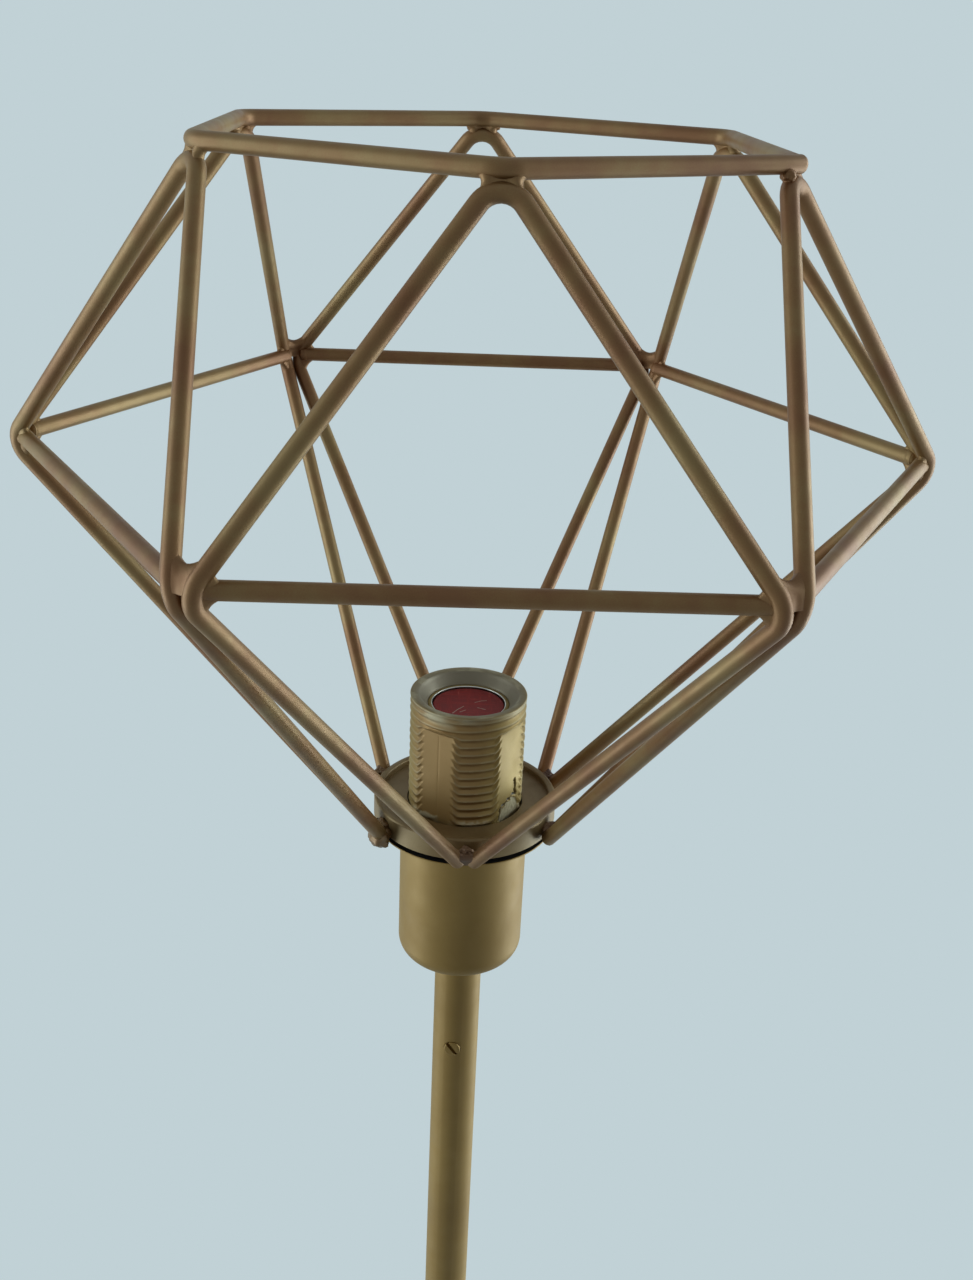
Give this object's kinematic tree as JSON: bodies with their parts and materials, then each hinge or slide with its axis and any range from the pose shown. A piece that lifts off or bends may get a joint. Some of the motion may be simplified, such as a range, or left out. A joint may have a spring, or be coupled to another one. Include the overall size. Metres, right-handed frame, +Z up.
{
  "type": "floor lamp",
  "caption": "Floor lamp with a round weighted base, a sectioned pole, a threaded lampholder in a cup and an open hexagonal cage of bent wires, without its cord and bulb.",
  "frame": {"origin": "centre of the lamp's footprint on the floor, under the pole's axis", "axes": "+Z up along the pole; -Y faces the first wire frame of the cage; the cord inlet is at +Y"},
  "size_m": [0.2864, 0.27, 1.5095],
  "materials": {
    "gold_paint": "satin gold paint on steel",
    "bronze_paint": "satin bronze-gold paint on steel wire",
    "painted_plastic": "satin gold paint on moulded plastic",
    "block_plastic": "matt moulded insulating plastic",
    "red_plastic": "dark red moulded plastic",
    "shell_metal": "pale rolled sheet",
    "brass": "plain brass strip",
    "zinc_steel": "zinc-plated",
    "cast_iron": "raw casting",
    "black_rubber": "matt",
    "felt": "pressed felt"
  },
  "bodies": {
    "stand": {"base_pad": "felt", "base_weight": "cast_iron", "base_cover": "bronze_paint", "base_washer": "zinc_steel", "base_nut": "zinc_steel", "base_nipple": "zinc_steel", "cord_grommet": "black_rubber", "pole_foot_collar": "gold_paint", "pole_foot_bush": "zinc_steel", "pole_lower": "gold_paint", "pole_middle": "gold_paint", "pole_coupler_lower": "gold_paint", "pole_coupler_upper": "gold_paint", "pole_upper": "gold_paint", "pole_top_bush": "zinc_steel", "set_screw": "gold_paint", "holder_cup": "gold_paint", "holder_nipple": "zinc_steel", "cup_lock_washer": "zinc_steel", "cup_nut": "zinc_steel", "holder_base": "painted_plastic", "contact_block": "block_plastic", "terminal_screws": "brass", "screw_shell": "shell_metal", "centre_contact": "brass", "side_contact": "brass", "holder_skirt": "painted_plastic"},
    "shade_ring_body": {"shade_ring": "painted_plastic"},
    "cage": {"gallery_hoop": "bronze_paint", "gallery_disc": "bronze_paint", "cage_frame_1": "bronze_paint", "cage_frame_2": "bronze_paint", "cage_frame_3": "bronze_paint", "cage_frame_4": "bronze_paint", "cage_frame_5": "bronze_paint", "cage_frame_6": "bronze_paint", "waist_bar_1": "bronze_paint", "waist_bar_2": "bronze_paint", "waist_bar_3": "bronze_paint", "waist_bar_4": "bronze_paint", "waist_bar_5": "bronze_paint", "waist_bar_6": "bronze_paint", "top_ring": "bronze_paint", "waist_welds": "bronze_paint", "ring_welds": "bronze_paint", "foot_welds": "bronze_paint"},
    "plug": {"socket_plug": "red_plastic"}
  },
  "joints": [
    {"name": "cage_turn", "type": "hinge", "parent": "stand", "child": "shade_ring_body", "pos_m": [0, 0, 1.2822], "axis": [0, 0, 1], "continuous": true},
    {"name": "cage_lift", "type": "slide", "parent": "shade_ring_body", "child": "cage", "axis": [0, 0, 1], "range_m": [0, 0.06]},
    {"name": "plug_pull", "type": "slide", "parent": "stand", "child": "plug", "axis": [0, 0, 1], "range_m": [0, 0.015]}
  ]
}
